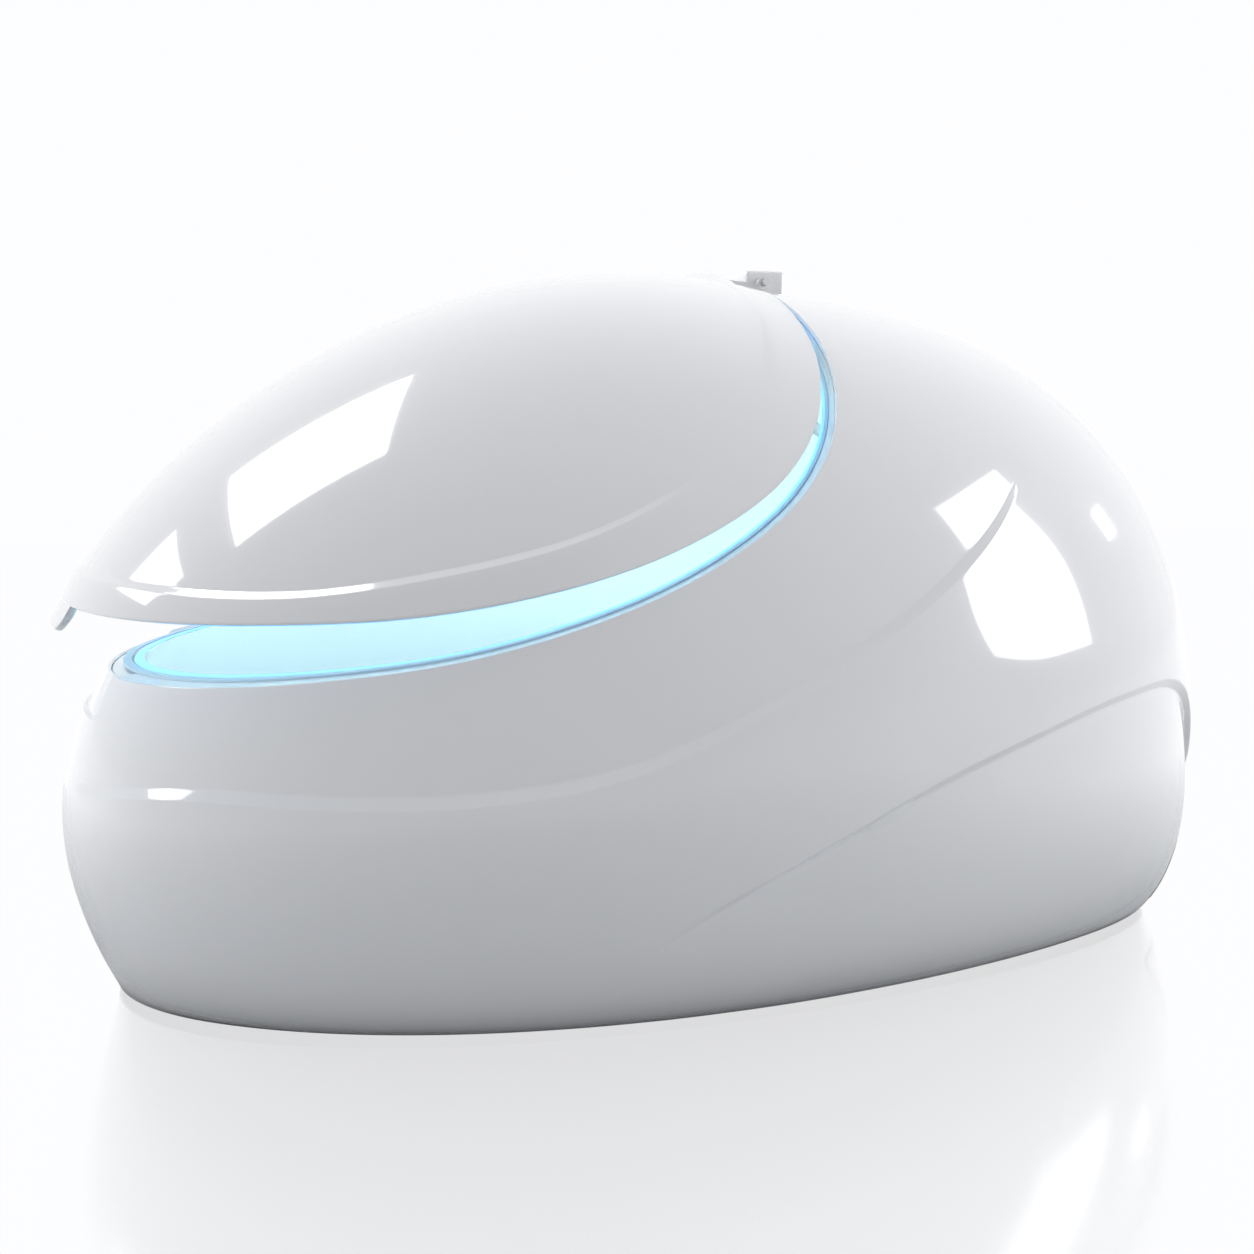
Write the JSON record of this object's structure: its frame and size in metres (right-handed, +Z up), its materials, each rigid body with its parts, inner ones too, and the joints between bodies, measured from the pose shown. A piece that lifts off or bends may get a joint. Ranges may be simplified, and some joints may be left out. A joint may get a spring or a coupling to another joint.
{
  "type": "flotation tank",
  "caption": "Egg-shaped flotation tank with a canopy lid hinged at the crown, a lit bathing tub, gas struts and a water circuit under the tub.",
  "frame": {"origin": "on the floor under the middle of the hull", "axes": "+X towards the head end and the hinge, +Y across to the far side, +Z up"},
  "size_m": [2.4562, 1.5971, 1.4563],
  "materials": {
    "gelcoat": "gloss",
    "liner": "gloss",
    "plinth": "matte",
    "frame": "satin",
    "steel": "brushed",
    "bright": "polished",
    "rubber": "matte",
    "seal": "matte",
    "diffuser": "gloss",
    "pvc": "satin",
    "grey": "matte",
    "dark": "matte",
    "cast": "satin",
    "bronze": "satin",
    "fabric": "matte",
    "red": "gloss"
  },
  "bodies": {
    "tank": {"base_frame": "frame", "body_shell": "gelcoat", "button_panel": "liner", "control_box": "grey", "control_box_lid": "grey", "drain_valve": "pvc", "equipment_tray": "steel", "filter_cartridge": "fabric", "filter_housing": "pvc", "floor_fittings": "pvc", "floor_grilles": "bright", "heater": "steel", "hinge_block": "grey", "hinge_bushes": "bronze", "hull_brackets": "frame", "inner_tub": "liner", "latch_pocket": "gelcoat", "levelling_feet": "rubber", "panel_clips": "steel", "panel_screws": "bright", "pipe_filter_to_steriliser": "pvc", "pipe_pump_to_filter": "pvc", "pipe_return": "pvc", "pipe_steriliser_to_heater": "pvc", "pipe_suction": "pvc", "pipe_waste": "pvc", "plinth": "plinth", "power_gland": "grey", "pump_motor": "cast", "pump_volute": "dark", "rim_light": "diffuser", "rim_seal": "seal", "service_panel": "gelcoat", "sound_exciters": "dark", "steriliser": "steel", "strut_studs_tub": "bright", "tub_light_housings": "bright", "tub_light_lenses": "diffuser", "vent_fan_housing": "grey", "vent_grille": "liner"},
    "lid": {"lid_shell": "gelcoat", "lid_liner": "liner", "lid_tongue": "gelcoat", "lid_light": "diffuser", "hinge_fairing": "gelcoat", "hinge_arms": "steel", "hinge_pin": "steel", "strut_studs_lid": "bright", "grab_handle": "bright"},
    "strut_cylinder_near": {"strut_cylinder_near": "dark"},
    "strut_cylinder_far": {"strut_cylinder_far": "dark"},
    "strut_rod_near": {"strut_rod_near": "bright"},
    "strut_rod_far": {"strut_rod_far": "bright"},
    "impeller": {"pump_impeller": "dark"},
    "fan_rotor": {"vent_fan_rotor": "dark"},
    "valve_handle": {"drain_valve_handle": "red"},
    "filter_cap": {"filter_cap": "dark"},
    "light_button": {"light_button": "diffuser"},
    "call_button": {"call_button": "red"}
  },
  "joints": [
    {"name": "lid_hinge", "type": "hinge", "parent": "tank", "child": "lid", "pos_m": [0.188, 0, 1.426], "axis": [0, 1, 0], "range_deg": [-5.2, 42.8]},
    {"name": "strut_swing_near", "type": "hinge", "parent": "tank", "child": "strut_cylinder_near", "pos_m": [0.36, -0.395, 1], "axis": [0, 1, 0], "range_deg": [-0.6, 4.5]},
    {"name": "strut_slide_near", "type": "slide", "parent": "strut_cylinder_near", "child": "strut_rod_near", "axis": [-0.8286, 0, 0.5599], "range_m": [-0.0229, 0.1871]},
    {"name": "strut_swing_far", "type": "hinge", "parent": "tank", "child": "strut_cylinder_far", "pos_m": [0.36, 0.395, 1], "axis": [0, 1, 0], "range_deg": [-0.6, 4.5]},
    {"name": "strut_slide_far", "type": "slide", "parent": "strut_cylinder_far", "child": "strut_rod_far", "axis": [-0.8286, 0, 0.5599], "range_m": [-0.0229, 0.1871]},
    {"name": "impeller_spin", "type": "hinge", "parent": "tank", "child": "impeller", "pos_m": [0.6, -0.18, 0.18], "axis": [1, 0, 0], "continuous": true},
    {"name": "fan_spin", "type": "hinge", "parent": "tank", "child": "fan_rotor", "pos_m": [1.04106, 0, 0.9], "axis": [0.8938, 0, 0.4484], "continuous": true},
    {"name": "drain_valve_turn", "type": "hinge", "parent": "tank", "child": "valve_handle", "pos_m": [-0.78, -0.19, 0.2], "axis": [0, 0, 1], "range_deg": [0, 90]},
    {"name": "filter_cap_turn", "type": "hinge", "parent": "tank", "child": "filter_cap", "pos_m": [-0.16, -0.18, 0.18], "axis": [-1, 0, 0], "range_deg": [0, 45]},
    {"name": "light_button_press", "type": "slide", "parent": "tank", "child": "light_button", "axis": [-0.0557, -0.9849, 0.164], "range_m": [0, 0.003], "stiffness_N_per_m": 500, "springref_m": -0.001},
    {"name": "call_button_press", "type": "slide", "parent": "tank", "child": "call_button", "axis": [-0.0557, -0.9849, 0.164], "range_m": [0, 0.003], "stiffness_N_per_m": 500, "springref_m": -0.001}
  ],
  "couplings": [
    {"joint": "strut_swing_near", "follows": "lid_hinge", "ratio": 0.1037},
    {"joint": "strut_slide_near", "follows": "lid_hinge", "m_per_rad": 0.2503},
    {"joint": "strut_swing_far", "follows": "lid_hinge", "ratio": 0.1037},
    {"joint": "strut_slide_far", "follows": "lid_hinge", "m_per_rad": 0.2503}
  ]
}
